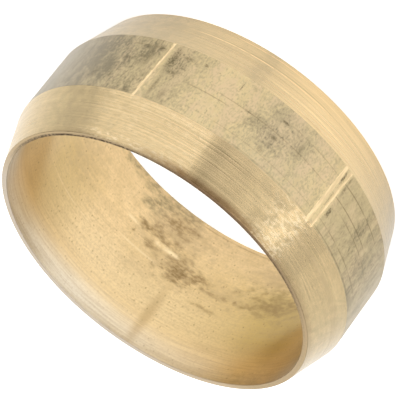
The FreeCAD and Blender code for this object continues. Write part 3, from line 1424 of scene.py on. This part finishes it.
@dataclass(frozen=True)
class Softbox:
    """A rectangular soft light beside or above the ring: its azimuth, its place and size in metres, how far
    it leans over from upright, and the brightness of its face."""

    name: str
    azimuth: float
    away_m: float
    high_m: float
    width_m: float
    length_m: float
    lean: float
    glow: float

    def build(self) -> None:
        """Hangs the light, facing the ring's axis."""
        light = bpy.data.lights.new(self.name, "AREA")
        light.shape = "RECTANGLE"
        light.size, light.size_y = self.width_m, self.length_m
        light.energy = self.glow * math.pi * self.width_m * self.length_m
        holder = bpy.data.objects.new(self.name, light)
        holder.visible_camera = False
        turn, lean = math.radians(self.azimuth), math.radians(self.lean)
        side = Vector((math.cos(turn), math.sin(turn), 0.0))
        holder.location = side * self.away_m + Vector((0.0, 0.0, self.high_m))
        back = side * math.cos(lean) + Vector((0.0, 0.0, math.sin(lean)))
        along = Vector((0.0, 0.0, math.cos(lean))) - side * math.sin(lean)
        holder.rotation_euler = Matrix((along.cross(back), along, back)).transposed().to_euler()
        bpy.context.scene.collection.objects.link(holder)


@dataclass(frozen=True)
class Studio:
    """Pale floor, a surround that is dim at the horizon and lighter above, and soft lights."""

    floor_side_m: float = 6.0
    floor_drop_m: float = 0.00002
    floor_colour: Colour = (0.88, 0.88, 0.88)
    floor_glow: float = 0.685
    floor_roughness: float = 0.9
    floor_shine: float = 0.1
    horizon: float = 0.25
    sky: float = 0.45
    sky_rise: Span = (0.25, 0.65)
    softboxes: tuple[Softbox, ...] = (
        Softbox("overhead", -90.0, 0.05, 0.60, 1.00, 0.80, 90.0, 0.33),
        Softbox("back_fill", 90.0, 0.52, 0.30, 0.50, 0.34, 30.0, 1.05),
        Softbox("front_high", -90.0, 0.34, 0.44, 0.50, 0.30, 52.0, 0.50),
        Softbox("left_high", -127.0, 0.48, 0.36, 0.40, 0.27, 37.0, 1.75),
        Softbox("left_strip", -137.0, 0.60, 0.14, 0.18, 0.28, 0.0, 0.49),
        Softbox("front_low", -107.0, 0.60, 0.13, 0.44, 0.26, 0.0, 0.20),
        Softbox("right_key", -43.0, 0.60, 0.28, 0.80, 0.56, 0.0, 0.49),
    )

    def build(self) -> None:
        """Makes the floor, the surround and the lights."""
        self.floor()
        world = bpy.data.worlds.new("studio")
        world.use_nodes = True
        board = Board(world.node_tree)
        background = world.node_tree.nodes["Background"]
        background.inputs["Color"].default_value = (1.0, 1.0, 1.0, 1.0)
        direction = board.add("SeparateXYZ")
        board.feed(direction.inputs[0], board.add("TexCoord").outputs["Generated"])
        glow = board.ramp(direction.outputs["Z"], *self.sky_rise, self.horizon, self.sky)
        board.feed(background.inputs["Strength"], glow)
        scene = bpy.context.scene
        scene.world = world
        scene.view_settings.view_transform = "Standard"
        for softbox in self.softboxes:
            softbox.build()
            log.info("light %s", softbox.name)

    def floor(self) -> None:
        """Lays the pale floor that the ring stands on."""
        half = self.floor_side_m / 2
        corners = [(-half, -half), (half, -half), (half, half), (-half, half)]
        mesh = bpy.data.meshes.new("studio_floor")
        mesh.from_pydata([(x, y, -self.floor_drop_m) for x, y in corners], [], [(0, 1, 2, 3)])
        floor = bpy.data.objects.new("studio_floor", mesh)
        material = bpy.data.materials.new("pale_floor")
        material.use_nodes = True
        shader = material.node_tree.nodes["Principled BSDF"]
        shader.inputs["Base Color"].default_value = (*self.floor_colour, 1.0)
        shader.inputs["Roughness"].default_value = self.floor_roughness
        shader.inputs["Specular IOR Level"].default_value = self.floor_shine
        shader.inputs["Emission Color"].default_value = (1.0, 1.0, 1.0, 1.0)
        shader.inputs["Emission Strength"].default_value = self.floor_glow
        mesh.materials.append(material)
        bpy.context.scene.collection.objects.link(floor)


@dataclass(frozen=True)
class PhotoCamera:
    """The photograph's camera, worked out from the ring's outline there."""

    lens_mm: float = 298.73
    sensor_mm: float = 36.0
    elevation: float = 29.397
    roll: float = -142.634
    distance: float = 144.924
    ring_right: float = -0.1028
    ring_up: float = -0.1784
    near_m: float = 0.01
    far_m: float = 20.0

    def build(self, centre: Vector) -> None:
        """Sets up the camera.

        Args:
            centre: the ring's centre, in metres.
        """
        rise, turn = math.radians(self.elevation), math.radians(self.roll)
        back = Vector((0.0, -math.cos(rise), math.sin(rise)))
        level = Vector((1.0, 0.0, 0.0))
        upright = back.cross(level)
        right = level * math.cos(turn) + upright * math.sin(turn)
        up = upright * math.cos(turn) - level * math.sin(turn)
        data = bpy.data.cameras.new("photo_camera")
        data.lens, data.sensor_width = self.lens_mm, self.sensor_mm
        data.clip_start, data.clip_end = self.near_m, self.far_m
        camera = bpy.data.objects.new("photo_camera", data)
        place = centre + (back * self.distance - right * self.ring_right - up * self.ring_up) * MM
        turned = Matrix((right, up, back)).transposed().to_4x4()
        camera.matrix_world = Matrix.Translation(place) @ turned
        bpy.context.scene.collection.objects.link(camera)
        bpy.context.scene.camera = camera


def mount_radius(name: str) -> float:
    """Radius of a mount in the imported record, in millimetres."""
    return next(mount["dims"]["r_mm"] for mount in frame["record"]["mounts"] if mount["name"] == name)


def main() -> None:
    """Builds the ring, its finishes, the studio and the camera."""
    logging.basicConfig(level=logging.INFO, format="%(name)s: %(message)s")
    low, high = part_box(NODE)
    olive = OliveRing(
        length=(high.z - low.z) / MM,
        band_radius=min(-low.x, -low.y, high.x, high.y) / MM,
        bore_radius=mount_radius("bore"),
    )
    ring = olive.build()
    olive.dress(ring, Effects())
    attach(ring, BODY)
    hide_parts(NODE)
    log.info("piece %s: %d faces", ring.name, len(ring.data.polygons))
    centre = Vector((0.0, 0.0, (low.z + high.z) / 2))
    Studio().build()
    PhotoCamera().build(centre)


if __name__ == "__main__":
    main()
